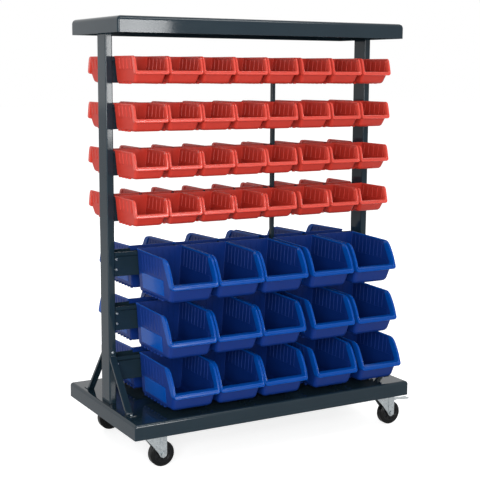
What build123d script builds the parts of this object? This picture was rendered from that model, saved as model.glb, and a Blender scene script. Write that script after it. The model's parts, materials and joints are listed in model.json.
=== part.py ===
from build123d import *

import os
from math import atan2, tan

# Mobile bin cart: a double sided rail rack with hopper bins on a castered deck.
# Millimetres. The origin lies on the floor, at the middle of the box that holds the whole cart.
# +Z is up, +X runs along the deck and -Y is the front side. Lengths up the rack are counted from
# the lower edge of the deck's skirt, which is caster_height above the floor.

os.makedirs("parts", exist_ok=True)

# Whole cart
caster_height = 106
overrun = 5

# Deck pan, and the two channels below it that carry the casters
deck_length = 950
deck_depth = 500
deck_skirt = 45
deck_sheet = 2
deck_bend = 9
channel_margin = 5
channel_sheet = 3
channel_fit = 0.3

# Top shelf pan
shelf_length = 960
shelf_depth = 343
shelf_skirt = 45
shelf_sheet = 1.5
shelf_bend = 7
shelf_headroom = 64

# End posts, bolted to the deck and welded to the underside of the shelf
post_width = 22
post_depth = 60
post_wall = 2
post_corner = 2
post_inset = 28
post_bolt_spacing = 26
bolt_across_flats = 13
bolt_head = 5.3

# Slim strut between the rails, from the deck up to the top ones
strut_width = 10
strut_depth = 14
strut_wall = 1.2
strut_place_share = 0.128

# Rails: folded strips with a lip along the top that the bins hang on
rail_height = 72
rail_sheet = 1.5
rail_face = 23.5
rail_lip = 10
rail_joggle = 5.5
rail_end_gap = 0.5
rail_screw_drop = 22
rail_screw_pitch = 30
screw_head = 9
screw_head_height = 2.6

# Brackets that join each pair of rails to a post
bracket_leg = 15
bracket_sheet = 2.5
bracket_margin = 8

# Diagonal braces between post and deck
brace_width = 20
brace_sheet = 2
brace_flange = 9
brace_rise = 168
brace_run = 144
brace_tab = 24

# Bins. The mouth's top edge stands back from the lip, and the lip stands out from the front wall,
# which leans in towards the floor. The free length of a rail is shared out round its bins. Rows are
# listed from the top down, and a row's gap is the clear height above the next rail below it.
hook_gap = 0.3
hook_sheet = 2
hook_drop = 7
small_bin = {
    "width": 104,
    "height": 76,
    "depth": 145,
    "mouth_lean": 13,
    "mouth_bend": 0,
    "lip_reach": 12,
    "front_lean": 15,
    "lip_low": 25,
    "lip_height": 11,
    "wall": 1.8,
    "frame": 5,
    "taper": 8,
    "corner": 9,
}
large_bin = {
    "width": 148,
    "height": 125,
    "depth": 235,
    "mouth_lean": 43,
    "mouth_bend": 18,
    "lip_reach": 16,
    "front_lean": 17,
    "lip_low": 42,
    "lip_height": 15,
    "wall": 2.2,
    "frame": 7,
    "taper": 9,
    "corner": 14,
}
small_row_gap = 56.5
small_left_count = 5
small_spread_shares = [
    {"start": 0.13, "left": 0.045, "strut": 0.33, "right": 0.15, "end": 0.06},
    {"start": 0.05, "left": 0.065, "strut": 0.33, "right": 0.15, "end": 0.06},
    {"start": 0.05, "left": 0.065, "strut": 0.33, "right": 0.15, "end": 0.06},
    {"start": 0.04, "left": 0.065, "strut": 0.34, "right": 0.15, "end": 0.06},
]
large_row_gaps = [36, 26]
large_floor_gap = 15
middle_gap = 86.5
large_left_count = 3
large_spread_shares = [
    {"start": 0.53, "left": 0.02, "strut": 0.12, "right": 0.075, "end": 0.235},
    {"start": 0.49, "left": 0.02, "strut": 0.22, "right": 0.08, "end": 0.17},
    {"start": 0.57, "left": 0.01, "strut": 0.26, "right": 0.14, "end": 0.01},
]

# Casters. Their small turned parts have flat sides, because they repeat.
caster_inset_x = 69
caster_inset_y = 60
plate_length = 95
plate_width = 67
plate_sheet = 3
plate_bolt_x = 75
plate_bolt_y = 45
race_radius = 26
race_depth = 6
race_gap = 0.3
pin_radius = 5
running_gap = 0.05
turned_sides = 16
fork_sheet = 2.5
fork_gap = 2
fork_front = 24
fork_back = 12
fork_end_radius = 11
fork_end_sides = 8
trail = 38
wheel_radius = 37.5
wheel_width = 25
tyre_sides = 48
hub_radius = 26
hub_sides = 24
axle_radius = 4
pedal_reach = 115
pedal_width = 24
pedal_sheet = 2
pedal_pivot_x = 27
pedal_pivot_drop = 22
pedal_pin_radius = 3
pedal_fall = 9
pedal_pad = 22
shoe_x = 62
shoe_length = 12
shoe_gap = 4

# Places that follow from the sizes above
post_x = deck_length / 2 - post_inset
post_inner = post_x - post_width / 2
rail_length = 2 * (post_inner - rail_end_gap)
strut_x = strut_place_share * rail_length
lip_face = rail_face + rail_joggle
bin_back = lip_face + hook_gap
large_tops = [deck_skirt + large_floor_gap + large_bin["height"]]
for gap in reversed(large_row_gaps):
    large_tops.insert(0, large_tops[0] + gap + large_bin["height"])
small_tops = [large_tops[0] + middle_gap + small_bin["height"]]
for shares in small_spread_shares[1:]:
    small_tops.insert(0, small_tops[0] + small_row_gap + small_bin["height"])
rack_height = small_tops[0] + shelf_headroom
strut_top = small_tops[0] - rail_lip
shelf_top = rack_height + shelf_skirt
caster_x = deck_length / 2 - caster_inset_x
caster_y = deck_depth / 2 - caster_inset_y
channel_width = plate_length + 2 * channel_margin
axle_z = wheel_radius - caster_height
fork_inner = wheel_width / 2 + fork_gap
fork_outer = fork_inner + fork_sheet
crown_z = -plate_sheet - race_depth - race_gap
origin_x = (caster_x + pedal_reach - max(shelf_length, deck_length) / 2) / 2
sides = ((-1, "front"), (1, "rear"))
ends = ((-1, "left"), (1, "right"))


def export(name, pieces):
    """Moves pieces from the rack's own place to the cart's frame and writes one STEP file."""
    body = pieces[0] if len(pieces) == 1 else Compound(children=pieces)
    export_step(Pos(-origin_x, 0, caster_height) * body, f"parts/{name}.step")


def block(x, y, z):
    """A box between two x, two y and two z values, each pair in either order."""
    centre = Pos((x[0] + x[1]) / 2, (y[0] + y[1]) / 2, (z[0] + z[1]) / 2)
    return centre * Box(abs(x[1] - x[0]), abs(y[1] - y[0]), abs(z[1] - z[0]))


def side_prism(points, x):
    """Extrudes an outline of (y, z) points between two x values."""
    face = make_face(Plane.YZ * Polyline(*points, close=True))
    return Pos(x[0], 0, 0) * extrude(face, amount=x[1] - x[0], dir=(1, 0, 0))


def front_prism(points, y):
    """Extrudes an outline of (x, z) points between two y values."""
    face = make_face(Plane.XZ * Polyline(*points, close=True))
    return Pos(0, y[0], 0) * extrude(face, amount=y[1] - y[0], dir=(0, 1, 0))


def turned(radius, length, place, direction=(0, 0, 1), count=turned_sides, bore=False):
    """A round piece with flat sides, or the bore for one, from a place along a direction."""
    outline = RegularPolygon(radius, count, major_radius=not bore)
    return extrude(Plane(origin=place, z_dir=direction) * outline, amount=length)


def hexagon(across_flats, height, place, direction=(0, 0, 1)):
    """A screw's or bolt's head that stands on a place."""
    return turned(across_flats / 2, height, place, direction, 6, True)


def pan(length, depth, skirt, sheet, bend):
    """A folded tray, open side down: a sheet with a bent edge and a skirt all round."""
    outside = block((-length / 2, length / 2), (-depth / 2, depth / 2), (0, skirt))
    outside = fillet(outside.edges().group_by(Axis.Z)[-1], bend)
    x, y = length / 2 - sheet, depth / 2 - sheet
    inside = block((-x, x), (-y, y), (-overrun, skirt - sheet))
    inside = chamfer(inside.edges().group_by(Axis.Z)[-1], bend - sheet)
    return outside - inside


def make_deck():
    export("base_deck", [pan(deck_length, deck_depth, deck_skirt, deck_sheet, deck_bend)])
    reach = deck_depth / 2 - deck_sheet - channel_fit
    top = deck_skirt - deck_sheet
    channels = []
    for side, _ in ends:
        x = side * caster_x - channel_width / 2, side * caster_x + channel_width / 2
        bend = deck_bend - deck_sheet
        inner = x[0] + channel_sheet, x[1] - channel_sheet
        outer = block(x, (-reach, reach), (0, top))
        outer = chamfer(outer.edges().filter_by(Axis.X).group_by(Axis.Z)[-1], bend)
        channels.append(outer - block(inner, (-2 * reach, 2 * reach), (channel_sheet, 2 * top)))
    export("base_channels", channels)


def make_shelf():
    shelf = pan(shelf_length, shelf_depth, shelf_skirt, shelf_sheet, shelf_bend)
    export("top_shelf", [Pos(0, 0, rack_height) * shelf])


def make_posts():
    low, high = deck_skirt, shelf_top - shelf_sheet
    bolts = []
    for end, name in ends:
        x, half, deep = end * post_x, post_width / 2, post_depth / 2
        tube = block((x - half, x + half), (-deep, deep), (low, high))
        tube = chamfer(tube.edges().filter_by(Axis.Z), post_corner)
        half, deep = half - post_wall, deep - post_wall
        bore = block((x - half, x + half), (-deep, deep), (low + post_wall, high - post_wall))
        export(f"{name}_post", [tube - bore])
        for y in (-post_bolt_spacing / 2, post_bolt_spacing / 2):
            bolts.append(hexagon(bolt_across_flats, bolt_head, (x, y, low - deck_sheet), (0, 0, -1)))
    export("post_bolts", bolts)
    x, y = strut_width / 2, strut_depth / 2
    inner_x, inner_y = x - strut_wall, y - strut_wall
    strut = block((-x, x), (-y, y), (low, strut_top))
    strut -= block((-inner_x, inner_x), (-inner_y, inner_y), (low - overrun, strut_top + overrun))
    export("mid_strut", [Pos(strut_x, 0, 0) * strut])


def rail(side, top):
    """One rail with its top edge at a height; side is -1 for the front and 1 for the rear."""
    corner = rail_sheet * tan(atan2(1, 1) / 2)
    low, bend_high = top - rail_height, top - rail_lip
    bend_low = bend_high - rail_joggle
    back = rail_face - rail_sheet
    points = [
        (strut_depth / 2, low),
        (rail_face, low),
        (rail_face, bend_low),
        (lip_face, bend_high),
        (lip_face, top),
        (lip_face - rail_sheet, top),
        (lip_face - rail_sheet, bend_high + corner),
        (back, bend_low + corner),
        (back, low + rail_sheet),
        (strut_depth / 2, low + rail_sheet),
    ]
    return side_prism([(side * y, z) for y, z in points], (-rail_length / 2, rail_length / 2))


def rail_bracket(end, top):
    """A U shaped bracket: its web on the post, its legs behind the ends of two rails."""
    half = rail_face - rail_sheet
    high = top - rail_screw_drop + bracket_margin
    low = top - rail_screw_drop - rail_screw_pitch - bracket_margin
    x = end * post_inner, end * (post_inner - bracket_leg)
    outer = block(x, (-half, half), (low, high))
    half -= bracket_sheet
    cut = end * (post_inner - bracket_sheet), end * (post_inner - bracket_leg - overrun)
    return outer - block(cut, (-half, half), (low - overrun, high + overrun))


def make_rails():
    for side, name in sides:
        export(f"{name}_small_bin_rails", [rail(side, top) for top in small_tops])
        export(f"{name}_large_bin_rails", [rail(side, top) for top in large_tops])
        heads = []
        for top in small_tops + large_tops:
            for z in (top - rail_screw_drop, top - rail_screw_drop - rail_screw_pitch):
                for end, _ in ends:
                    place = end * (post_inner - bracket_leg / 2), side * rail_face, z
                    heads.append(hexagon(screw_head, screw_head_height, place, (0, side, 0)))
        export(f"{name}_rail_screws", heads)
    for end, name in ends:
        export(f"{name}_rail_brackets", [rail_bracket(end, top) for top in small_tops + large_tops])


def brace(side):
    """A strip from the post's face down to the deck, with a tab at each end and two flanges."""
    face, foot = post_depth / 2, post_depth / 2 + brace_run
    deck, head = deck_skirt, deck_skirt + brace_rise
    bend_out, bend_up = foot - brace_tab, head - brace_tab
    slope = atan2(bend_up - deck, bend_out - face)
    strip = [
        (face, head),
        (face + brace_sheet, head),
        (face + brace_sheet, bend_up + brace_sheet * tan((atan2(1, 0) - slope) / 2)),
        (bend_out + brace_sheet * tan(slope / 2), deck + brace_sheet),
        (foot, deck + brace_sheet),
        (foot, deck),
        (bend_out, deck),
        (face, bend_up),
    ]
    inner = bend_out - brace_flange / tan(slope)
    flange = [(face, bend_up), (bend_out, deck), (inner, deck), (face, deck + (inner - face) * tan(slope))]
    half = brace_width / 2
    piece = side_prism([(side * y, z) for y, z in strip], (-half, half))
    for x in ((-half, brace_sheet - half), (half - brace_sheet, half)):
        piece += side_prism([(side * y, z) for y, z in flange], x)
    return piece


def make_braces():
    heads = []
    for side, side_name in sides:
        for end, end_name in ends:
            export(f"{side_name}_{end_name}_brace", [Pos(end * post_x, 0, 0) * brace(side)])
            y, z = post_depth / 2 + brace_sheet, deck_skirt + brace_rise - brace_tab / 2
            heads.append(hexagon(screw_head, screw_head_height, (end * post_x, side * y, z), (0, side, 0)))
            y, z = post_depth / 2 + brace_run - brace_tab / 2, deck_skirt + brace_sheet
            heads.append(hexagon(screw_head, screw_head_height, (end * post_x, side * y, z)))
    export("brace_screws", heads)


def tub(size, inset, y):
    """A bin's tapered front view with cut lower corners, drawn in by an inset."""
    half = size["width"] / 2 - inset
    foot = half - size["taper"]
    cut = size["corner"] - inset / 2
    low = inset - size["height"]
    right = [(foot - cut, low), (foot, low + cut), (half, 0)]
    return front_prism([(-x, z) for x, z in reversed(right)] + right, y)


def hopper_bin(size):
    """A bin with its back on the XZ plane, its mouth towards +Y and its top edge at z = 0."""
    half, low, depth = size["width"] / 2, -size["height"], size["depth"]
    wall, bend = size["wall"], size["mouth_bend"]
    lip_low = low + size["lip_low"]
    lip_high = lip_low + size["lip_height"]
    mouth_top = depth - size["mouth_lean"]
    front_top = depth - size["lip_reach"]
    floor_end = front_top - size["front_lean"]
    lean = size["mouth_lean"] / lip_low
    behind = -2 * hook_gap - rail_sheet
    back_of_frame = [(mouth_top - bend - size["frame"], 0), (front_top, lip_low)]
    hook = [
        (0, -hook_sheet),
        (behind, -hook_sheet),
        (behind, -hook_sheet - hook_drop),
        (behind - hook_sheet, -hook_sheet - hook_drop),
        (behind - hook_sheet, 0),
    ]
    mouth = [(depth, lip_low), (mouth_top, 0)]
    if bend:
        mouth[1:] = [(mouth_top - lean * bend, -bend), (mouth_top - bend, 0)]
    body = side_prism(back_of_frame + [(floor_end, low), (0, low)] + hook, (-half, half))
    body &= tub(size, 0, (behind - hook_sheet, depth))
    frame = side_prism(back_of_frame + mouth, (-half, half))
    inside = [
        (wall, 0),
        (wall, low + wall),
        (floor_end - wall, low + wall),
        (depth + lean * size["lip_height"] - size["frame"], lip_high),
        (2 * depth, lip_high),
        (2 * depth, 0),
    ]
    hollow = side_prism(inside, (-half, half)) & tub(size, wall, (0, 2 * depth))
    return body + frame - hollow


def row_places(width, left_count, shares):
    """The middle of each bin on a rail: as many bins as fit, spread by the row's shares."""
    count = int(rail_length // width)
    gaps = ["start"] + ["left"] * (left_count - 1) + ["strut"] + ["right"] * count
    gaps = [shares[gap] for gap in gaps[:count]]
    unit = (rail_length - count * width) / (sum(gaps) + shares["end"])
    return [width * (n + 1 / 2) + unit * sum(gaps[:n + 1]) - rail_length / 2 for n in range(count)]


def make_bins():
    groups = (
        ("small", small_bin, small_tops, small_left_count, small_spread_shares),
        ("large", large_bin, large_tops, large_left_count, large_spread_shares),
    )
    for kind, size, tops, left_count, spread_shares in groups:
        model = hopper_bin(size)
        for side, name in sides:
            turn = Rot(0, 0, 180) if side < 0 else Rot(0, 0, 0)
            for n, top in enumerate(tops):
                height = top + hook_gap + hook_sheet
                places = row_places(size["width"], left_count, spread_shares[n])
                row = [Pos(x, side * bin_back, height) * turn * model for x in places]
                export(f"{name}_{kind}_bins_{n + 1}", row)


def caster_plate():
    """The mounting plate with its race and the king pin that the fork turns on."""
    x, y = plate_length / 2, plate_width / 2
    plate = block((-x, x), (-y, y), (-plate_sheet, 0))
    race = turned(race_radius, race_depth, (0, 0, -plate_sheet), (0, 0, -1))
    top = -plate_sheet - race_depth
    nut = crown_z - fork_sheet - race_gap
    pin = turned(pin_radius, top - nut, (0, 0, top), (0, 0, -1))
    return plate + race + pin + hexagon(bolt_across_flats, bolt_head, (0, 0, nut), (0, 0, -1))


def fork():
    """The crown plate with its bore for the king pin, and two legs down to the axle."""
    low = crown_z - fork_sheet
    x = -fork_front, trail + fork_back
    crown = block(x, (-fork_outer, fork_outer), (low, crown_z))
    crown -= turned(pin_radius + running_gap, 2 * fork_sheet, (0, 0, low - fork_sheet / 2), bore=True)
    end = Pos(trail, axle_z) * RegularPolygon(fork_end_radius, fork_end_sides, rotation=180 / fork_end_sides)
    crown_edges = [Line((x[0], z), (x[1], z)) for z in (crown_z, low)]
    outline = make_hull([*end.edges(), *crown_edges])
    leg = extrude(Plane.XZ * outline, amount=fork_sheet, dir=(0, 1, 0))
    return crown + Pos(0, fork_inner, 0) * leg + Pos(0, -fork_outer, 0) * leg


def tyre():
    low = -wheel_width / 2
    tread = turned(wheel_radius, wheel_width, (trail, low, axle_z), (0, 1, 0), tyre_sides)
    return tread - turned(hub_radius, 2 * wheel_width, (trail, 2 * low, axle_z), (0, 1, 0), hub_sides)


def hub():
    low = -wheel_width / 2
    body = turned(hub_radius, wheel_width, (trail, low, axle_z), (0, 1, 0), hub_sides)
    radius = axle_radius + running_gap
    return body - turned(radius, 2 * wheel_width, (trail, 2 * low, axle_z), (0, 1, 0), bore=True)


def axle():
    """The spacer between the fork's legs, with the bolt's head and its nut outside them."""
    spacer = turned(axle_radius, 2 * fork_inner, (trail, -fork_inner, axle_z), (0, 1, 0))
    head = hexagon(bolt_across_flats, bolt_head, (trail, -fork_outer, axle_z), (0, -1, 0))
    nut = hexagon(bolt_across_flats, bolt_head, (trail, fork_outer, axle_z), (0, 1, 0))
    return [spacer, head, nut]


def brake_pedal():
    """A lever on a pin between the fork's legs, with a shoe over the tyre and a foot pad."""
    half = pedal_width / 2
    top, low = pedal_sheet / 2 - pedal_pivot_drop, -pedal_sheet / 2 - pedal_pivot_drop
    bend = pedal_reach - pedal_pad
    outline = [
        (pedal_pivot_x, top),
        (bend, top - pedal_fall),
        (pedal_reach, top - pedal_fall),
        (pedal_reach, low - pedal_fall),
        (bend, low - pedal_fall),
        (pedal_pivot_x, low),
    ]
    lever = front_prism(outline, (-half, half))
    reach = fork_inner - race_gap
    place = pedal_pivot_x, -reach, -pedal_pivot_drop
    pin = turned(pedal_pin_radius, 2 * reach, place, (0, 1, 0), fork_end_sides)
    near = shoe_x - shoe_length
    tread = axle_z + (wheel_radius**2 - (near - trail) ** 2) ** 0.5
    shoe_top = low - pedal_fall * (near - pedal_pivot_x) / (bend - pedal_pivot_x) + pedal_sheet / 2
    shoe = block((near, shoe_x), (-half, half), (tread + shoe_gap, shoe_top))
    return lever + pin + shoe


def make_casters():
    plates, bolts = [], []
    pieces = {"fork": [fork()], "tyre": [tyre()], "hub": [hub()], "axle": axle()}
    pedal, plate = brake_pedal(), caster_plate()
    for end, end_name in ends:
        for side, side_name in sides:
            spot = Pos(end * caster_x, side * caster_y, 0)
            plates.append(spot * plate)
            for x in (-plate_bolt_x / 2, plate_bolt_x / 2):
                for y in (-plate_bolt_y / 2, plate_bolt_y / 2):
                    head = hexagon(bolt_across_flats, bolt_head, (x, y, -plate_sheet), (0, 0, -1))
                    bolts.append(spot * head)
            for name, solids in pieces.items():
                export(f"{side_name}_{end_name}_{name}", [spot * solid for solid in solids])
            if end > 0:
                export(f"{side_name}_{end_name}_brake_pedal", [spot * pedal])
    export("caster_plates", plates)
    export("caster_bolts", bolts)


make_deck()
make_shelf()
make_posts()
make_rails()
make_braces()
make_bins()
make_casters()
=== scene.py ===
import json
from math import cos, pi, radians, sin

import bmesh
import bpy
from mathutils import Matrix, Vector


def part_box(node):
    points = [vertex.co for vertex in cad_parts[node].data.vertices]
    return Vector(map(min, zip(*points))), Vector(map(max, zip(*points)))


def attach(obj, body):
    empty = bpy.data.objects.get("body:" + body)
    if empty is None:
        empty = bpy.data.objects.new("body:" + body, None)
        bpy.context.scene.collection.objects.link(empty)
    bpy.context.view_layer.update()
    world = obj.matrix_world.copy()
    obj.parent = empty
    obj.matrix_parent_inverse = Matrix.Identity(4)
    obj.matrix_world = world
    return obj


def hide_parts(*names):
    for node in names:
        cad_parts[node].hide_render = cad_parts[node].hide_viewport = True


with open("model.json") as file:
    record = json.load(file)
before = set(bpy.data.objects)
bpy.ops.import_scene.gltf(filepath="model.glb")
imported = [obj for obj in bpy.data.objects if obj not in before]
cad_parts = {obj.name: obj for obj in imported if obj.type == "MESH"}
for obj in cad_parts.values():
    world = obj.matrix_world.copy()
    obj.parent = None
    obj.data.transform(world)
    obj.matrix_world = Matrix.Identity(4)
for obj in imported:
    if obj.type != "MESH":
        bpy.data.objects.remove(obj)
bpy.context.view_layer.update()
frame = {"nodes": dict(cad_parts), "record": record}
nodes = frame["nodes"]
scene = bpy.context.scene
mm = 0.001
print("frame loaded:", len(nodes), "nodes")

# The rack's middle in x, and the height that the casters' measures are counted from
deckLow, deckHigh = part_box("base_deck")
rackX = (deckLow.x + deckHigh.x) / 2
rackZ = deckLow.z
sides = ("front", "rear")
ends = ("left", "right")
bodyOf = {
    node: body
    for body, members in frame["record"]["behaviour"]["bodies"].items()
    for node in members
}


# Camera, at the photograph's place and angle. Its width and focus are in pixels
photo = {
    "width": 480,
    "focus": 1097.8,
    "sensor": 36,
    "farthest": 50,
    "place": (-1.6890, -2.9386, 1.1214),
    "yaw": 29.549,
    "pitch": 8.683,
    "roll": 0.314,
}


def makeCamera():
    data = bpy.data.cameras.new("camera")
    data.sensor_width = photo["sensor"]
    data.lens = photo["focus"] / photo["width"] * data.sensor_width
    data.clip_end = photo["farthest"]
    yaw, pitch, roll = (radians(photo[name]) for name in ("yaw", "pitch", "roll"))
    forward = Vector((sin(yaw) * cos(pitch), cos(yaw) * cos(pitch), -sin(pitch)))
    level = Vector((cos(yaw), -sin(yaw), 0))
    upright = level.cross(forward)
    right = level * cos(roll) + upright * sin(roll)
    up = upright * cos(roll) - level * sin(roll)
    turn = Matrix((right, up, -forward)).transposed()
    camera = bpy.data.objects.new("camera", data)
    camera.matrix_world = Matrix.Translation(photo["place"]) @ turn.to_4x4()
    scene.collection.objects.link(camera)
    scene.camera = camera


makeCamera()


# Colours and materials
def colour(red, green, blue):
    # a colour as a screen shows it, 0 to 255, made linear
    return tuple((v / 255) ** 2.2 for v in (red, green, blue)) + (1,)


def addNode(tree, kind, inputs=None, settings=None):
    # a node of any tree; each input takes another node's output or a value
    node = tree.nodes.new(kind)
    for name, value in (settings or {}).items():
        setattr(node, name, value)
    for name, value in (inputs or {}).items():
        if isinstance(value, bpy.types.NodeSocket):
            tree.links.new(value, node.inputs[name])
        else:
            node.inputs[name].default_value = value
    return node


# What all finishes share: how fine their noise is, between which of its values the gloss changes, how
# much the cells count, and how deep the grain is, in metres
surface = {
    "patchDetail": 4.0,
    "patchLow": 0.3,
    "patchHigh": 0.7,
    "cellShare": 0.5,
    "grainDetail": 2.0,
    "grainDepth": 0.0004,
}


def makeFinish(name, look):
    # patches of a second tone, uneven gloss and a fine grain; a stretch gives streaks, cells give spangle
    material = bpy.data.materials.new(name)
    material.use_nodes = True
    tree = material.node_tree
    shader = tree.nodes["Principled BSDF"]
    place = addNode(tree, "ShaderNodeTexCoord").outputs["Object"]
    stretch = look.get("stretch", (1, 1, 1))
    drawn = addNode(tree, "ShaderNodeMapping", {"Vector": place, "Scale": stretch}).outputs["Vector"]
    noise = {"Vector": drawn, "Scale": look["patchScale"], "Detail": surface["patchDetail"]}
    patches = addNode(tree, "ShaderNodeTexNoise", noise).outputs["Fac"]
    if "cells" in look:
        cells = addNode(tree, "ShaderNodeTexVoronoi", {"Vector": place, "Scale": look["cells"]})
        flake = addNode(tree, "ShaderNodeSeparateColor", {"Color": cells.outputs["Color"]})
        # a mix takes two numbers at its inputs 2 and 3, and two colours at 6 and 7
        blend = {"Factor": surface["cellShare"], 2: patches, 3: flake.outputs["Red"]}
        patches = addNode(tree, "ShaderNodeMix", blend).outputs[0]
    tones = {"Factor": patches, 6: colour(*look["tone"]), 7: colour(*look["otherTone"])}
    tone = addNode(tree, "ShaderNodeMix", tones, {"data_type": "RGBA"})
    tree.links.new(tone.outputs[2], shader.inputs["Base Color"])
    gloss = {
        "Value": patches,
        "From Min": surface["patchLow"],
        "From Max": surface["patchHigh"],
        "To Min": look["smooth"],
        "To Max": look["rough"],
    }
    rough = addNode(tree, "ShaderNodeMapRange", gloss)
    tree.links.new(rough.outputs["Result"], shader.inputs["Roughness"])
    noise = {"Vector": place, "Scale": look["grainScale"], "Detail": surface["grainDetail"]}
    grain = addNode(tree, "ShaderNodeTexNoise", noise).outputs["Fac"]
    relief = {"Height": grain, "Strength": look["grain"], "Distance": surface["grainDepth"]}
    bump = addNode(tree, "ShaderNodeBump", relief)
    tree.links.new(bump.outputs["Normal"], shader.inputs["Normal"])
    for label, value in look["sockets"].items():
        shader.inputs[label].default_value = value
    return material


finishes = {
    "dark_grey_paint": {
        "tone": (29, 42, 50),
        "otherTone": (35, 49, 57),
        "patchScale": 9.0,
        "smooth": 0.06,
        "rough": 0.11,
        "grainScale": 420.0,
        "grain": 0.04,
        "sockets": {"Specular IOR Level": 0.24},
    },
    "red_plastic": {
        "tone": (182, 54, 43),
        "otherTone": (192, 61, 50),
        "patchScale": 26.0,
        "stretch": (1, 1, 0.3),
        "smooth": 0.34,
        "rough": 0.46,
        "grainScale": 1400.0,
        "grain": 0.08,
        "sockets": {"Specular IOR Level": 0.24},
    },
    # the rims' red: red_plastic painted lighter as painted light, and smoother
    "red_edge_painted_light": {
        "tone": (206, 74, 62),
        "otherTone": (215, 82, 70),
        "patchScale": 26.0,
        "smooth": 0.16,
        "rough": 0.26,
        "grainScale": 1400.0,
        "grain": 0.05,
        "sockets": {"Specular IOR Level": 0.4},
    },
    "blue_plastic": {
        "tone": (17, 45, 109),
        "otherTone": (22, 52, 120),
        "patchScale": 20.0,
        "stretch": (1, 1, 0.3),
        "smooth": 0.36,
        "rough": 0.48,
        "grainScale": 1400.0,
        "grain": 0.08,
        "sockets": {"Specular IOR Level": 0.16},
    },
    # the rims' blue: blue_plastic painted lighter and bluer as painted light, and smoother
    "blue_edge_painted_light": {
        "tone": (10, 70, 150),
        "otherTone": (13, 78, 162),
        "patchScale": 20.0,
        "smooth": 0.14,
        "rough": 0.24,
        "grainScale": 1400.0,
        "grain": 0.05,
        "sockets": {"Specular IOR Level": 0.15},
    },
    "zinc": {
        "tone": (156, 163, 166),
        "otherTone": (184, 190, 192),
        "patchScale": 60.0,
        "cells": 260.0,
        "smooth": 0.24,
        "rough": 0.4,
        "grainScale": 800.0,
        "grain": 0.1,
        "sockets": {"Metallic": 0.9},
    },
    "black_tyre": {
        "tone": (11, 13, 14),
        "otherTone": (17, 19, 20),
        "patchScale": 40.0,
        "smooth": 0.24,
        "rough": 0.4,
        "grainScale": 900.0,
        "grain": 0.15,
        "sockets": {"Specular IOR Level": 0.2},
    },
    "dark_plastic": {
        "tone": (14, 16, 18),
        "otherTone": (20, 22, 24),
        "patchScale": 60.0,
        "smooth": 0.28,
        "rough": 0.42,
        "grainScale": 1200.0,
        "grain": 0.12,
        "sockets": {"Specular IOR Level": 0.25},
    },
}
materials = {name: makeFinish(name, look) for name, look in finishes.items()}
# the rims' tones are painted lighter than their bins' plastic, as painted light
# the rims are the same plastic as their bins, polished
print("finishes made:", len(materials))


# Helpers for meshes
# Points closer than this, in metres, are one: in meshes made here, and in the solids' own
welds = {"own": 1e-6, "solid": 2e-6}
# Degrees: what counts as flat, which edges get rounded, and which stay sharp in the shading
angles = {"flat": 0.5, "solid": 25, "own": 32, "sheet": 50, "sharp": 32}


def meshFrom(name, points, faces):
    mesh = bpy.data.meshes.new(name)
    mesh.from_pydata([tuple(p) for p in points], [], faces)
    mesh.update()
    return mesh


def welded(mesh, distance):
    # an open copy of a mesh, its double points made one
    bm = bmesh.new()
    bm.from_mesh(mesh)
    bmesh.ops.remove_doubles(bm, verts=bm.verts, dist=distance)
    return bm


def written(bm, mesh):
    bm.to_mesh(mesh)
    bm.free()
    return mesh


def faceOutwards(mesh):
    bm = welded(mesh, welds["own"])
    bmesh.ops.recalc_face_normals(bm, faces=bm.faces)
    return written(bm, mesh)


def shaped(mesh, *modifiers):
    # the mesh after some modifiers, each given as a kind and its settings
    holder = bpy.data.objects.new("holder", mesh)
    scene.collection.objects.link(holder)
    for kind, settings in modifiers:
        modifier = holder.modifiers.new(kind, kind)
        for name, value in settings.items():
            setattr(modifier, name, value)
    graph = bpy.context.evaluated_depsgraph_get()
    result = bpy.data.meshes.new_from_object(holder.evaluated_get(graph), depsgraph=graph)
    bpy.data.objects.remove(holder)
    return result


def softEdges(width, segments=2, angle=angles["own"]):
    # a bevel on the edges that turn by more than an angle
    limit = {"limit_method": "ANGLE", "angle_limit": radians(angle)}
    return "BEVEL", {"width": width * mm, "segments": segments, **limit}


def bentSheet(mesh, bend, segments, thickness, *more):
    # a sheet bent round at its weighted edges, then given its thickness inwards
    rounding = {"width": bend * mm, "segments": segments, "limit_method": "WEIGHT"}
    thick = {"thickness": thickness * mm, "offset": -1, "use_even_offset": True}
    return shaped(mesh, ("BEVEL", rounding), ("SOLIDIFY", thick), *more)


def joined(name, meshes):
    # several meshes as one, without their materials
    points, faces = [], []
    for mesh in meshes:
        start = len(points)
        points += [v.co.copy() for v in mesh.vertices]
        faces += [[start + v for v in face.vertices] for face in mesh.polygons]
    return meshFrom(name, points, faces)


def movedMesh(mesh, matrix):
    copy = mesh.copy()
    copy.transform(matrix)
    return copy


def prism(points, x):
    # an outline of (y, z) points in millimetres, drawn out between two x values
    count = len(points)
    corners = [Vector((at, y, z)) * mm for at in x for y, z in points]
    faces = [list(range(count)), list(range(2 * count - 1, count - 1, -1))]
    for n in range(count):
        after = (n + 1) % count
        faces.append([n, count + n, count + after, after])
    return faceOutwards(meshFrom("prism", corners, faces))


def slab(x, y, z):
    return prism([(y[0], z[0]), (y[1], z[0]), (y[1], z[1]), (y[0], z[1])], x)


def lathe(profile, steps, centre):
    # a closed profile of (radius, y) points in millimetres, turned round the y axis
    points, faces = [], []
    for step in range(steps):
        angle = 2 * pi * step / steps
        for radius, y in profile:
            points.append(Vector((radius * cos(angle), y, radius * sin(angle))) * mm + centre)
    count = len(profile)
    for step in range(steps):
        here, ahead = step * count, (step + 1) % steps * count
        for n in range(count):
            after = (n + 1) % count
            faces.append([here + n, here + after, ahead + after, ahead + n])
    return faceOutwards(meshFrom("lathe", points, faces))


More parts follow.
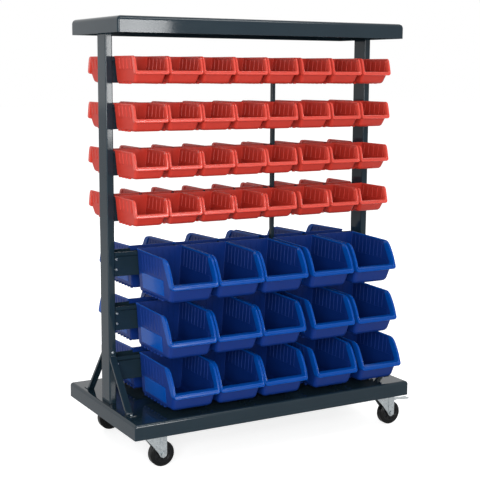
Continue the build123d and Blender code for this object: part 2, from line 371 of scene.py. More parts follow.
def addPiece(node, ending, mesh, finish):
    # puts a finished mesh into the scene, on its node's body and in the place of the node's solids
    mesh.materials.clear()
    mesh.materials.append(materials[finish])
    mesh.polygons.foreach_set("use_smooth", [True] * len(mesh.polygons))
    mesh.set_sharp_from_angle(angle=radians(angles["sharp"]))
    # wide faces are shaded flat, and the narrow ones at their edges take the turn
    mesh = shaped(mesh, ("WEIGHTED_NORMAL", {"mode": "FACE_AREA", "weight": 50, "keep_sharp": True}))
    name = f"{node}_{ending}"
    mesh.name = name
    piece = bpy.data.objects.new(name, mesh)
    scene.collection.objects.link(piece)
    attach(piece, bodyOf[node])
    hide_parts(node)


def addSoftened(node, finish, width, segments=2):
    # a copy of a solid with its edges rounded, in its place
    bm = welded(nodes[node].data, welds["solid"])
    bmesh.ops.dissolve_limit(bm, angle_limit=radians(angles["flat"]), verts=bm.verts, edges=bm.edges)
    bm.verts.index_update()
    points = [v.co.copy() for v in bm.verts]
    faces = [[v.index for v in face.verts] for face in bm.faces]
    bm.free()
    mesh = shaped(meshFrom(node, points, faces), softEdges(width, segments, angles["solid"]))
    addPiece(node, "soft", mesh, finish)


# Geometry Nodes trees: both repeat one piece on points
def startTree(name, inputs):
    # a tree with its named inputs, and the sockets that carry them
    tree = bpy.data.node_groups.new(name, "GeometryNodeTree")
    tree.interface.new_socket(name="Geometry", in_out="OUTPUT", socket_type="NodeSocketGeometry")
    for label, kind, value in inputs:
        socket = tree.interface.new_socket(name=label, in_out="INPUT", socket_type="NodeSocket" + kind)
        if value is not None:
            socket.default_value = value
    return tree, tree.nodes.new("NodeGroupInput").outputs


def endTree(tree, given, spots):
    # the piece on each point, made real and given its finish
    piece = addNode(tree, "GeometryNodeObjectInfo", {"Object": given["Piece"], "As Instance": True})
    spots["Instance"] = piece.outputs["Geometry"]
    spread = addNode(tree, "GeometryNodeInstanceOnPoints", spots)
    real = addNode(tree, "GeometryNodeRealizeInstances", {"Geometry": spread.outputs["Instances"]})
    coat = {"Geometry": real.outputs["Geometry"], "Material": given["Finish"]}
    done = addNode(tree, "GeometryNodeSetMaterial", coat)
    addNode(tree, "NodeGroupOutput", {"Geometry": done.outputs["Geometry"]})
    return tree


def makeCopiesTree():
    # the piece on each point of a mesh, all turned alike
    inputs = [
        ("Points", "Geometry", None),
        ("Piece", "Object", None),
        ("Turn", "Vector", (0.0, 0.0, 0.0)),
        ("Finish", "Material", None),
    ]
    tree, given = startTree("copies on points", inputs)
    return endTree(tree, given, {"Points": given["Points"], "Rotation": given["Turn"]})


def makeRowTree():
    # the piece along a straight line, one step apart
    inputs = [
        ("Piece", "Object", None),
        ("Count", "Int", 4),
        ("First", "Vector", (0.0, 0.0, 0.0)),
        ("Step", "Vector", (0.0, 0.01, 0.0)),
        ("Finish", "Material", None),
    ]
    tree, given = startTree("row of pieces", inputs)
    places = {"Count": given["Count"], "Start Location": given["First"], "Offset": given["Step"]}
    line = addNode(tree, "GeometryNodeMeshLine", places)
    return endTree(tree, given, {"Points": line.outputs["Mesh"]})


copiesTree = makeCopiesTree()
rowTree = makeRowTree()


def grow(tree, mesh, finish, values, base):
    # runs a tree that repeats a mesh, and gives the result as one plain mesh
    template = bpy.data.objects.new("template", mesh)
    holder = bpy.data.objects.new("holder", base)
    for thing in (template, holder):
        scene.collection.objects.link(thing)
    modifier = holder.modifiers.new("tree", "NODES")
    modifier.node_group = tree
    values = {"Piece": template, "Finish": materials[finish], **values}
    for item in tree.interface.items_tree:
        if item.in_out == "INPUT" and item.name in values:
            modifier[item.identifier] = values[item.name]
    graph = bpy.context.evaluated_depsgraph_get()
    result = bpy.data.meshes.new_from_object(holder.evaluated_get(graph), depsgraph=graph)
    holder.modifiers.remove(modifier)
    for thing in (template, holder):
        bpy.data.objects.remove(thing)
    return result


def copiesOf(mesh, points, finish, turn):
    return grow(copiesTree, mesh, finish, {"Turn": turn}, meshFrom("spots", points, []))


def rowOf(mesh, count, first, step, finish):
    values = {"Count": count, "First": [v * mm for v in first], "Step": [v * mm for v in step]}
    return grow(rowTree, mesh, finish, values, bpy.data.meshes.new("empty"))


# Bins: y runs from the back edge to the mouth, and z is counted from the top edge
smallBin = {
    "kind": "small",
    "count": 4,
    "width": 104,
    "height": 76,
    "depth": 145,
    "mouthTop": 132,  # how far out the mouth's top edge is
    "mouthRound": 9,  # the bend between the top edges and the mouth
    "bulge": 1.5,  # how much the mouth bows out
    "frontTop": 133,  # how far out the front wall's top is
    "floorEnd": 118,  # how far out the floor's front is
    "lipLow": 25,  # the front wall's height
    "lipHeight": 11,  # the frame's lower bar, above the front wall
    "wall": 1.8,
    "frameFace": 6.2,
    "frameDepth": 5,
    "bead": 3,  # the rim's height along the sides
    "cornerRound": (7, 4),  # outside and inside
    "taper": 8,  # how far in a side wall stands at the floor
    "round": 9,
    "backRound": 3,
    "panelDrop": 38,  # the raised panel's lower edge
    "panelEnd": 117,
    "panelProud": 1.4,
    "ribsEnd": 116,
    "ribWidth": 12,
    "ribPitch": 25,
    "ribProud": 1.6,
    "insideRibWidth": 4,
    "backRise": 0,  # how much the top edges rise towards the back
    "finish": "red_plastic",
    "edgeFinish": "red_edge_painted_light",
    "leftCount": 5,  # bins to the left of the strut
    # shares of a rail's free length, for each row from the lowest up
    "shares": [
        {"start": 0.13, "left": 0.045, "strut": 0.33, "right": 0.15, "end": 0.06},
        {"start": 0.05, "left": 0.065, "strut": 0.33, "right": 0.15, "end": 0.06},
        {"start": 0.05, "left": 0.065, "strut": 0.33, "right": 0.15, "end": 0.06},
        {"start": 0.04, "left": 0.065, "strut": 0.34, "right": 0.15, "end": 0.06},
    ],
}
largeBin = {
    "kind": "large",
    "count": 3,
    "width": 148,
    "height": 125,
    "depth": 235,
    "mouthTop": 192,
    "mouthRound": 15,
    "bulge": 6,
    "frontTop": 219,
    "floorEnd": 202,
    "lipLow": 42,
    "lipHeight": 13,
    "wall": 2.2,
    "frameFace": 7.2,
    "frameDepth": 7,
    "bead": 4,
    "cornerRound": (9, 5),
    "taper": 9,
    "round": 13,
    "backRound": 4,
    "panelDrop": 58,
    "panelEnd": 205,
    "panelProud": 1.0,
    "ribsEnd": 160,
    "ribWidth": 9,
    "ribPitch": 20,
    "ribProud": 1.0,
    "insideRibWidth": 5,
    "backRise": 5,
    # a smooth field on each side, in the rims' lighter tone as painted light: from back to front, and from
    # its top down
    "field": (24, 167, 64, 109),
    "finish": "blue_plastic",
    "edgeFinish": "blue_edge_painted_light",
    "leftCount": 3,
    "shares": [
        {"start": 0.53, "left": 0.02, "strut": 0.12, "right": 0.075, "end": 0.235},
        {"start": 0.49, "left": 0.02, "strut": 0.22, "right": 0.08, "end": 0.17},
        {"start": 0.57, "left": 0.01, "strut": 0.26, "right": 0.14, "end": 0.01},
    ],
}
railLength = 871


def mouthAt(size, z):
    # how far out the mouth's face is at a height
    t = z / (size["lipLow"] - size["height"])
    return size["mouthTop"] + (size["depth"] - size["mouthTop"]) * t + size["bulge"] * 4 * t * (1 - t)


def frameBackAt(size, z):
    # how far out the back of the mouth's frame is
    lipLow = size["lipLow"] - size["height"]
    top = size["mouthTop"] - size["mouthRound"] - size["frameDepth"]
    return top + (size["frontTop"] - top) * z / lipLow


# The tub: room beside the walls at the top, how far they run into the frame at its top and foot, and
# how much rounder the lower back edge is than the upright ones
tub = {"sideRoom": 0.4, "intoFrame": 1, "intoLip": 0.6, "heelRound": 1.5, "roundSteps": 4}


def halfAt(size, z):
    # half the outer width of the walls at a height
    room = tub["sideRoom"]
    return size["width"] / 2 - room - (size["taper"] - room) * z / -size["height"]


def binShell(size):
    # the walls and floor as one sheet with round corners; its outline runs from the back's top edge over the
    # mouth's top, the mouth's lip and the floor's front to the floor's back
    low = -size["height"]
    lipLow = low + size["lipLow"]
    outline = [
        (0, 0),
        (frameBackAt(size, 0) + tub["intoFrame"], 0),
        (frameBackAt(size, lipLow) + tub["intoLip"], lipLow),
        (size["floorEnd"], low),
        (0, low),
    ]
    bm = bmesh.new()
    left, right = (
        [bm.verts.new(Vector((side * halfAt(size, z), y, z)) * mm) for y, z in outline]
        for side in (-1, 1)
    )
    bm.faces.new(left)
    bm.faces.new(reversed(right))
    for a, b in ((0, 4), (4, 3), (3, 2)):
        bm.faces.new([left[a], left[b], right[b], right[a]])
    bmesh.ops.recalc_face_normals(bm, faces=bm.faces)
    weights = bm.edges.layers.float.new("bevel_weight_edge")
    small = size["backRound"] / size["round"]
    for a, b, weight in ((2, 3, 1), (3, 4, 1), (0, 4, small)):
        for wall in (left, right):
            bm.edges.get((wall[a], wall[b]))[weights] = weight
    bm.edges.get((left[3], right[3]))[weights] = 1
    bm.edges.get((left[4], right[4]))[weights] = small * tub["heelRound"]
    mesh = written(bm, bpy.data.meshes.new("shell"))
    # the top is open, so which way the faces point is read from the first one
    middle = Vector((0, size["floorEnd"] / 2, low / 2)) * mm
    first = mesh.polygons[0]
    if (first.center - middle).dot(first.normal) < 0:
        mesh.flip_normals()
    return bentSheet(mesh, size["round"], tub["roundSteps"], size["wall"])


# The section of the rim's bar: how far across it from the outer edge, and how proud, in shares of its width
rimSection = (
    (0, -0.16),
    (0.04, -0.03),
    (0.1, 0.06),
    (0.19, 0.0),
    (0.26, -0.19),
    (0.6, -0.19),
    (0.67, 0.0),
    (0.8, 0.07),
    (0.92, 0.01),
    (1, -0.14),
)
# Where the bar is cut along its bend and its straight side, its corner's steps, and how soon it widens
rimBar = {"bend": (0, 0.15, 0.3, 0.45, 0.6, 0.8, 1), "straight": (0.35, 0.7), "corner": 6, "widens": 1.4}


def rimRing(outer, inner, outerBack, innerBack):
    width = (inner - outer).length
    proud = ((outer - outerBack).normalized() + (inner - innerBack).normalized()) / 2
    front = [outer.lerp(inner, across) + proud * out * width for across, out in rimSection]
    return front + [innerBack, outerBack]


def rimCut(size, x, z, innerX, innerZ):
    # the bar's four corners at the mouth: outer, inner, and the same behind
    return [
        (x, mouthAt(size, z), z),
        (innerX, mouthAt(size, innerZ), innerZ),
        (x, frameBackAt(size, z), z),
        (innerX, frameBackAt(size, innerZ), innerZ),
    ]


def binFrame(size):
    # the rim: a bead along the top edges that widens into the frame round the mouth, with round lower corners
    half, low = size["width"] / 2, -size["height"]
    lipLow, lipHigh = low + size["lipLow"], low + size["lipLow"] + size["lipHeight"]
    bend, face, bead = size["mouthRound"], size["frameFace"], size["bead"]
    corner = Vector((mouthAt(size, 0), 0))
    start, end = Vector((corner.x - bend, 0)), Vector((mouthAt(size, -bend), -bend))
    backStart = Vector((frameBackAt(size, 0) + tub["intoFrame"], -bead))
    backEnd = Vector((frameBackAt(size, -bend), -bend))
    stations = [(Vector((0, 0)), Vector((0, -bead)), bead)]
    for t in rimBar["bend"]:
        front = start * (1 - t) ** 2 + corner * 2 * t * (1 - t) + end * t * t
        back = backStart.lerp(backEnd, t)
        back.y = min(back.y, -bead)
        stations.append((front, back, bead + (face - bead) * min(1, rimBar["widens"] * t)))
    rows = []
    for front, back, width in stations:
        inner = -half + width
        rows.append([(-half, *front), (inner, *front), (-half, *back), (inner, *back)])
    outerRound, innerRound = size["cornerRound"]
    above = lipHigh + innerRound
    for share in rimBar["straight"]:
        z = -bend + (above + bend) * share
        rows.append(rimCut(size, -half, z, -half + face, z))
    for step in range(rimBar["corner"] + 1):
        angle = pi / 2 * step / rimBar["corner"]
        out, down = 1 - cos(angle), 1 - sin(angle)
        x, z = -half + outerRound * out, lipLow + outerRound * down
        innerX, innerZ = -half + face + innerRound * out, lipHigh + innerRound * down
        rows.append(rimCut(size, x, z, innerX, innerZ))
    rows += [[(-x, y, z) for x, y, z in row] for row in reversed(rows)]
    points, faces = [], []
    for row in rows:
        points += rimRing(*[Vector(p) * mm for p in row])
    count = len(rimSection) + 2
    for n in range(len(rows) - 1):
        for k in range(count):
            a, b = count * n + k, count * n + (k + 1) % count
            faces.append([a, b, b + count, a + count])
    faces += [list(range(count)), list(range(len(points) - count, len(points)))]
    return faceOutwards(meshFrom("frame", points, faces))


# The hook behind the rail's lip: the room at its sides, how deep it starts in the bin's back (into) and how
# far under the top edge (below)
hook = {"gap": 0.3, "sheet": 2, "drop": 7, "lip": 1.5, "side": 3, "into": 0.5, "below": 0.2, "soft": 0.5}


def binHook(size):
    half = size["width"] / 2 - hook["side"]
    behind = -2 * hook["gap"] - hook["lip"]
    into, top, sheet = hook["into"], -hook["below"], hook["sheet"]
    outline = [
        (into, top),
        (into, -sheet),
        (behind, -sheet),
        (behind, -sheet - hook["drop"]),
        (behind - sheet, -sheet - hook["drop"]),
        (behind - sheet, top),
    ]
    return shaped(prism(outline, (-half, half)), softEdges(hook["soft"]))


# The relief on a tub's walls, made alike on both sizes. belowTop is a share of the bead, front and inset are
# shares of the lower round, and a side rib's root is a share of how proud it is
panel = {"start": 6, "belowTop": 0.6, "root": 0.6, "soft": 0.5}
ribs = {
    "flank": 0.8,
    "root": 0.5,
    "belowBead": 2.5,
    "aboveFoot": 2.5,
    "room": 12,
    "last": 4,
    "soft": 0.4,
}
insideRibs = {"belowBead": 4.5, "proud": 1.2}
ledge = {"start": 1, "front": 0.6, "root": 0.4, "proud": 0.9, "soft": 0.4}
backRibs = {"half": 1.2, "root": 0.5, "proud": 0.9, "belowBead": 2.5, "room": 12}
feet = {
    "half": (3.5, 4.5),
    "below": 1.4,
    "above": 4,
    "inset": 0.4,
    "first": 14,
    "room": 50,
    "pitch": 22,
    "soft": 0.8,
}
field = {"root": 0.6, "proud": 0.8, "soft": 0.5}


def wallEndAt(size, z):
    # how far out a side wall reaches at a height
    low, lipLow = -size["height"], size["lipLow"] - size["height"]
    share = max(0, (lipLow - z) / (lipLow - low))
    along = size["frontTop"] + (size["floorEnd"] - size["frontTop"]) * share
    return min(frameBackAt(size, max(z, lipLow)), along)


def sidePatch(size, side, corners, skin):
    # a flat patch on a side wall, with four (y, z) corners, from one depth in the wall to another
    points = [Vector((side * (halfAt(size, z) + out), y, z)) * mm for y, z in corners for out in skin]
    faces = [[0, 1, 3, 2], [4, 6, 7, 5], [0, 4, 5, 1], [2, 3, 7, 6], [1, 5, 7, 3], [0, 2, 6, 4]]
    return faceOutwards(meshFrom("patch", points, faces))


def sideRib(size, side, width, z, skin, out):
    # an upright rib with sloped flanks on a side wall, its middle at y = 0
    corners = []
    for level in z:
        x = halfAt(size, level) + skin
        root, crest = side * (x - out * ribs["root"]), side * (x + out)
        foot, top = width / 2, width / 2 - ribs["flank"]
        corners += [(root, -foot, level), (crest, -top, level), (crest, top, level), (root, foot, level)]
    faces = [[0, 1, 2, 3], [7, 6, 5, 4], [0, 4, 5, 1], [1, 5, 6, 2], [2, 6, 7, 3], [3, 7, 4, 0]]
    return faceOutwards(meshFrom("rib", [Vector(c) * mm for c in corners], faces))


def sideTrim(size, side):
    # a side's raised upper panel with its ribs, and inside it more ribs and the ledge
    low, drop, bead = -size["height"], -size["panelDrop"], size["bead"]
    wall, pitch, width, finish = size["wall"], size["ribPitch"], size["ribWidth"], size["finish"]

    corners = []
    for z in (-bead * panel["belowTop"], drop):
        corners += [(panel["start"], z), (min(size["panelEnd"], frameBackAt(size, z) + tub["intoFrame"]), z)]
    raisedPanel = sidePatch(size, side, corners, (-panel["root"], size["panelProud"]))

    reach = (-bead - ribs["belowBead"], drop + ribs["aboveFoot"])
    rib = sideRib(size, side, width, reach, size["panelProud"], size["ribProud"])
    rib = shaped(rib, softEdges(ribs["soft"]))
    count = int((size["ribsEnd"] - ribs["room"] - width) // pitch) + 1
    first = size["ribsEnd"] - ribs["last"] - width / 2 - pitch * (count - 1)
    outsideRow = rowOf(rib, count, (0, first, 0), (0, pitch, 0), finish)

    reach = (-bead - insideRibs["belowBead"], drop)
    rib = sideRib(size, side, size["insideRibWidth"], reach, -wall, -insideRibs["proud"])
    insideRow = rowOf(rib, count + 1, (0, first - pitch / 2, 0), (0, pitch, 0), finish)

    corners = []
    for z in (drop, low + size["round"]):
        end = wallEndAt(size, z) - wall - size["round"] * ledge["front"]
        corners += [(wall + ledge["start"], z), (end, z)]
    step = sidePatch(size, side, corners, (-wall + ledge["root"], -wall - ledge["proud"]))
    return [
        shaped(raisedPanel, softEdges(panel["soft"])),
        outsideRow,
        insideRow,
        shaped(step, softEdges(ledge["soft"])),
    ]


def binTrim(size):
    # the trim of both sides, the ribs inside the back wall and the feet along the two lower edges
    low, finish, pitch, wall = -size["height"], size["finish"], size["ribPitch"], size["wall"]
    meshes = sideTrim(size, -1) + sideTrim(size, 1)

    depth = (wall - backRibs["root"], wall + backRibs["proud"])
    reach = (low + size["round"], -size["bead"] - backRibs["belowBead"])
    rib = slab((-backRibs["half"], backRibs["half"]), depth, reach)
    count = int(2 * (halfAt(size, low) - backRibs["room"]) // pitch) + 1
    meshes.append(rowOf(rib, count, (-(count - 1) * pitch / 2, 0, 0), (pitch, 0, 0), finish))

    halfX, halfY = feet["half"]
    block = slab((-halfX, halfX), (-halfY, halfY), (low - feet["below"], low + feet["above"]))
    block = shaped(block, softEdges(feet["soft"]))
    foot = halfAt(size, low) - size["round"] * feet["inset"]
    count = int((size["floorEnd"] - feet["room"]) // feet["pitch"]) + 1
    for side in (-1, 1):
        meshes.append(rowOf(block, count, (side * foot, feet["first"], 0), (0, feet["pitch"], 0), finish))
    return meshes


def smoothPaintedLightFields(size):
    # the smooth field low on each side of a large bin; joined to the rims, it takes their lighter tone as
    # painted light
    if "field" not in size:
        return []
    back, front, top, low = size["field"]
    corners = [(y, z) for z in (-top, -low) for y in (back, front)]
    patches = [sidePatch(size, side, corners, (-field["root"], field["proud"])) for side in (-1, 1)]
    return [shaped(patch, softEdges(field["soft"])) for patch in patches]


def raised(mesh, size):
    # the top edges rise a little towards the back
    for vert in mesh.vertices:
        back = min(1, 1 - vert.co.y / mm / size["mouthTop"])
        high = 1 + vert.co.z / mm / size["height"]
        vert.co.z += size["backRise"] * mm * max(0, back) * max(0, high)
    return mesh


def rowPlaces(size, row):
    # the middle of each bin on a rail, the free length spread by the row's shares
    shares, width = size["shares"][row], size["width"]
    count = int(railLength // width)
    gaps = ["start"] + ["left"] * (size["leftCount"] - 1) + ["strut"] + ["right"] * count
    gaps = [shares[gap] for gap in gaps[:count]]
    unit = (railLength - count * width) / (sum(gaps) + shares["end"])
    return [width * (n + 0.5) + unit * sum(gaps[: n + 1]) - railLength / 2 for n in range(count)]


def makeBins(size):
    walls = raised(joined("walls", [binShell(size)] + binTrim(size)), size)
    shell = joined("bin", [walls, binHook(size)])
    # the fields join the rims, so the large bins' lower sides get the lighter tone: painted light
    rim = raised(joined("rim", [binFrame(size)] + smoothPaintedLightFields(size)), size)
    for side in sides:
        for row in range(size["count"]):
            node = f"{side}_{size['kind']}_bins_{row + 1}"
            low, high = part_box(node)
            depth = size["depth"] * mm
            # a bin's mouth points to +y, so the front ones are turned round
            back, turn = (low.y + depth, pi) if side == "front" else (high.y - depth, 0.0)
            points = [(rackX + x * mm, back, high.z) for x in rowPlaces(size, row)]
            # the rims take the edge finish, whose lighter tone is painted light
            for ending, mesh, finish in (("tubs", shell, size["finish"]), ("rims", rim, size["edgeFinish"])):
                addPiece(node, ending, copiesOf(mesh, points, finish, (0.0, 0.0, turn)), finish)
    print(size["kind"], "bins made, faces in one:", len(shell.polygons) + len(rim.polygons))


makeBins(smallBin)
makeBins(largeBin)


# The shelf and the deck: folded pans, open side down
shelfPan = {"sheet": 1.5, "bend": 12, "corner": 6, "steps": 5, "soft": 0.4}
deckPan = {"sheet": 2, "bend": 9, "corner": 3, "steps": 5, "soft": 0.4}


def makePan(node, size):
    low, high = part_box(node)
    bm = bmesh.new()
    xs, ys, zs = zip(low, high)
    verts = [bm.verts.new((x, y, z)) for z in zs for x in xs for y in ys]
    for corners in ((4, 5, 7, 6), (0, 4, 6, 2), (1, 3, 7, 5), (0, 1, 5, 4), (2, 6, 7, 3)):
        bm.faces.new([verts[n] for n in corners])
    bm.normal_update()
    weights = bm.edges.layers.float.new("bevel_weight_edge")
    widest = max(size["bend"], size["corner"])
    for edge in bm.edges:
        a, b = (v.co for v in edge.verts)
        if abs(a.z - b.z) > mm:
            edge[weights] = size["corner"] / widest
        elif a.z > low.z + mm:
            edge[weights] = size["bend"] / widest
    mesh = written(bm, bpy.data.meshes.new(node))
    top = max(mesh.polygons, key=lambda face: face.center.z)
    if top.normal.z < 0:
        mesh.flip_normals()
    soft = softEdges(size["soft"], 2, angles["sheet"])
    mesh = bentSheet(mesh, widest, size["steps"], size["sheet"], soft)
    addPiece(node, "pan", mesh, "dark_grey_paint")


# Frame parts: how round their edges are, in millimetres, and in how many steps the posts' are
frameRounds = {
    "channels": 0.8,
    "posts": 1.6,
    "postSteps": 3,
    "strut": 0.5,
    "rails": 0.5,
    "braces": 0.7,
    "brackets": 0.5,
}


def makeFrame():
    paint, rounds = "dark_grey_paint", frameRounds
    makePan("base_deck", deckPan)
    makePan("top_shelf", shelfPan)
    addSoftened("base_channels", paint, rounds["channels"])
    for end in ends:
        addSoftened(end + "_post", paint, rounds["posts"], rounds["postSteps"])
    addSoftened("mid_strut", paint, rounds["strut"])
    for side in sides:
        for kind in ("small", "large"):
            addSoftened(f"{side}_{kind}_bin_rails", paint, rounds["rails"])
        for end in ends:
            addSoftened(f"{side}_{end}_brace", paint, rounds["braces"])
    for end in ends:
        addSoftened(end + "_rail_brackets", paint, rounds["brackets"])
    print("frame made")


makeFrame()


# Screws and bolts: the hexagon's width, the head's height and the flange's radius
railScrew = {"acrossFlats": 5.5, "height": 2.4, "flange": 3.7}
braceScrew = {"acrossFlats": 5.5, "height": 2.4, "flange": 3.9}
bolt = {"acrossFlats": 13, "height": 5.3, "flange": 9}
headShape = {
    "flangeSides": 24,
    "flangeEdge": 0.5,
    "flangeTop": 1.0,
    "flangeSlope": 0.6,
    "hexFoot": 0.4,
    "dome": 0.7,
    "domeWidth": 0.82,
}
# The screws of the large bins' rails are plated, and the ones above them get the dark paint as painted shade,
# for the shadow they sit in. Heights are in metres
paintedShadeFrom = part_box("front_small_bin_rails")[0].z
allHeights = (0, 2)


def stackMesh(corners, levels):
    # polygons of a number of corners, one above the other, each with its radius and height
    points, faces = [], []
    for radius, z in levels:
        for n in range(corners):
            angle = 2 * pi * n / corners
            points.append(Vector((radius * cos(angle), radius * sin(angle), z)) * mm)
    for level in range(len(levels) - 1):
        for n in range(corners):
            a, b = level * corners + n, level * corners + (n + 1) % corners
            faces.append([a, b, b + corners, a + corners])
    faces.append(list(range(corners))[::-1])
    faces.append([len(points) - corners + n for n in range(corners)])
    return faceOutwards(meshFrom("stack", points, faces))


def headMesh(size):
    # a hexagon head on a round flange, standing on z = 0, with a domed top
    shape, flange, height = headShape, size["flange"], size["height"]
    radius = size["acrossFlats"] / 2 / cos(pi / 6)
    disc = [(flange, 0), (flange, shape["flangeEdge"]), (flange - shape["flangeSlope"], shape["flangeTop"])]
    upright = [(radius, shape["hexFoot"]), (radius, height - shape["dome"])]
    hexagon = upright + [(radius * shape["domeWidth"], height)]
    return joined("head", [stackMesh(shape["flangeSides"], disc), stackMesh(6, hexagon)])


def solidBoxes(node):
    # lowest and highest corner of each loose part of a node's mesh
    bm = welded(nodes[node].data, welds["solid"])
    seen, boxes = set(), []
    for start in bm.verts:
        if start in seen:
            continue
        group, waiting = [], [start]
        seen.add(start)
        while waiting:
            vert = waiting.pop()
            group.append(vert.co.copy())
            for edge in vert.link_edges:
                other = edge.other_vert(vert)
                if other not in seen:
                    seen.add(other)
                    waiting.append(other)
        boxes.append((Vector(map(min, *group)), Vector(map(max, *group))))
    bm.free()
    return boxes


def facingOf(node, middle, axis):
    # which way a head points: outwards on the rack's two faces, otherwise up on the braces and down on bolts
    if axis == 1:
        return 1 if middle.y > 0 else -1
    return 1 if node == "brace_screws" else -1


def makeHeads(node, size, finish="zinc", heights=allHeights):
    # heads where a fastener node's solids are, between two heights
    groups = {}
    for low, high in solidBoxes(node):
        middle, extent = (low + high) / 2, high - low
        if heights[0] <= middle.z < heights[1]:
            axis = min(range(3), key=lambda n: extent[n])
            facing = facingOf(node, middle, axis)
            place = middle.copy()
            place[axis] = low[axis] if facing > 0 else high[axis]
            groups.setdefault((axis, facing), []).append(place)
    head = headMesh(size)
    meshes = []
    for (axis, facing), places in groups.items():
        turn = -facing * pi / 2 if axis == 1 else (0.0 if facing > 0 else pi)
        meshes.append(copiesOf(head, places, finish, (turn, 0.0, 0.0)))
    addPiece(node, f"{finish}_heads", joined(node, meshes), finish)


# rail screws by the small bins in the dark paint as painted shade, the lower ones in zinc
for side in sides:
    makeHeads(side + "_rail_screws", railScrew, "dark_grey_paint", (paintedShadeFrom, allHeights[1]))
    makeHeads(side + "_rail_screws", railScrew, "zinc", (allHeights[0], paintedShadeFrom))
makeHeads("brace_screws", braceScrew)
makeHeads("post_bolts", bolt)
makeHeads("caster_bolts", bolt)
print("screws made")


# Casters
tyre = {
    "radius": 37.5,
    "width": 25,
    "hub": 26,
    # pairs: how far up from the hub, or down from the tread, and how far in from the side face
    "foot": ((0, 1), (0.8, 0)),
    "shoulder": ((7, 0), (6.2, 0.7), (5, 0.4)),
    "treadHigh": 5,
    "treadWide": 4.1,
    "treadIn": 4.5,
    "treadSteps": 6,
    "steps": 64,
}
hub = {
    "radius": 26,
    "bore": 4.05,
    # pairs: a radius of the boss, or how far down from the hub's own, and how far in from the side face
    "boss": ((9, 0), (9.8, 0.8), (10.2, 3), (11, 3.6)),
    "rim": ((4.6, 3.2), (3.8, 2.6), (3.4, 0.5), (2.8, 0), (0, 0)),
    "blades": 8,
    "bladeStart": 10,
    "bladeEnd": 3.2,
    "bladeIn": (4, 1.2),
    "bladeHalf": 0.9,
    "steps": 48,
}


def wheelMesh(halfProfile, steps, centre):
    # one side's outline with its mirror image, turned round the axle
    return lathe(halfProfile + [(radius, -y) for radius, y in reversed(halfProfile)], steps, centre)


def tyreMesh(centre):
    radius, face = tyre["radius"], -tyre["width"] / 2
    profile = [(tyre["hub"] + up, face + inward) for up, inward in tyre["foot"]]
    profile += [(radius - down, face + inward) for down, inward in tyre["shoulder"]]
    for n in range(tyre["treadSteps"]):
        angle = pi / 2 * (n + 1) / tyre["treadSteps"]
        high = radius - tyre["treadHigh"] * (1 - sin(angle))
        profile.append((high, face + tyre["treadIn"] - tyre["treadWide"] * cos(angle)))
    return wheelMesh(profile, tyre["steps"], centre)


def hubMesh(centre):
    radius, half = hub["radius"], tyre["width"] / 2
    profile = [(hub["bore"], -half)] + [(out, -half + inward) for out, inward in hub["boss"]]
    profile += [(radius - down, -half + inward) for down, inward in hub["rim"]]
    parts = [wheelMesh(profile, hub["steps"], centre)]
    deep, shallow = (half - inward for inward in hub["bladeIn"])
    for face in (-1, 1):
        length = (hub["bladeStart"], radius - hub["bladeEnd"])
        blade = slab(length, (face * deep, face * shallow), (-hub["bladeHalf"], hub["bladeHalf"]))
        for n in range(hub["blades"]):
            turn = Matrix.Rotation(2 * pi * n / hub["blades"], 4, "Y")
            parts.append(movedMesh(blade, Matrix.Translation(centre) @ turn))
    return joined("hub", parts)


# The fork, from the king pin at the deck's underside: x runs back to the axle, and z is up
fork = {
    "trail": 38,
    "axleZ": -68.5,
    "crownZ": -9.3,
    "inner": 14.5,
    "sheet": 2.5,
    "front": 24,
    "back": 12,
    "end": 11,
    "frontCurve": 0.85,
    "rows": 14,
    # a leg's flank is pressed in, and its strip along the back stays proud
    "flankColumns": 8,
    "stripColumns": 4,
    "flankStep": 1.5,
    "flankFoot": 3,
    "stripIn": 1,
    "leastFlank": 0.6,
    "leastStrip": 2,
    "slope": 0.5,
    # the front of a leg sweeps in towards the king pin
    "sweep": 10,
    "sweepFrom": 5,
    "sweepOver": 28,
    "sweepCurve": 1.2,
    "legSoft": 0.5,
    "crownIn": 3,
    "crownSoft": 1.1,
    "raceBore": 5.05,
    "raceRadius": 25.6,
    "raceSlope": 0.6,
    "raceEdge": 1,
    "raceSteps": 40,
}


def legEdges(z):
    # a leg's leading and trailing edges at a height: nearly straight, down to the round end
    trail, end, axleZ = fork["trail"], fork["end"], fork["axleZ"]
    if z < axleZ:
        reach = max(0.0, end ** 2 - (z - axleZ) ** 2) ** 0.5
        return trail - reach, trail + reach
    drop = min(1, (z - fork["crownZ"]) / (axleZ - fork["crownZ"]))
    front = -fork["front"] + (trail - end + fork["front"]) * drop ** fork["frontCurve"]
    return front, trail + fork["back"] + (end - fork["back"]) * drop


def legMesh(side):
    outer, top = fork["inner"] + fork["sheet"], fork["crownZ"]
    bottom = fork["axleZ"] - fork["end"]
    flank, strip, rows = fork["flankColumns"], fork["stripColumns"], fork["rows"]
    stripLeft = fork["trail"] - fork["end"] + fork["stripIn"]
    points, faces = [], []
    for row in range(rows + 1):
        z = top + (bottom - top) * row / rows
        front, back = legEdges(z)
        step = max(front + fork["leastFlank"], min(stripLeft, back - fork["leastStrip"]))
        places = [front + (step - fork["slope"] - front) * k / flank for k in range(flank + 1)]
        places += [step + (back - step) * k / strip for k in range(strip + 1)]
        for k, x in enumerate(places):
            swept = max(0.0, min(1.0, (fork["sweepFrom"] - x) / fork["sweepOver"]))
            inward = fork["sweep"] * swept ** fork["sweepCurve"]
            if k <= flank and z > fork["axleZ"] + fork["flankFoot"]:
                inward += fork["flankStep"]
            points.append(Vector((x, side * (outer - inward), z)) * mm)
    columns = flank + strip + 2
    for row in range(rows):
        for k in range(columns - 1):
            a = row * columns + k
            faces.append([a, a + 1, a + columns + 1, a + columns])
    leg = meshFrom("leg", points, faces)
    if (leg.polygons[0].normal.y > 0) != (side > 0):
        leg.flip_normals()
    thick = {"thickness": fork["sheet"] * mm, "offset": -1}
    return shaped(leg, ("SOLIDIFY", thick), softEdges(fork["legSoft"], 2, angles["sheet"]))


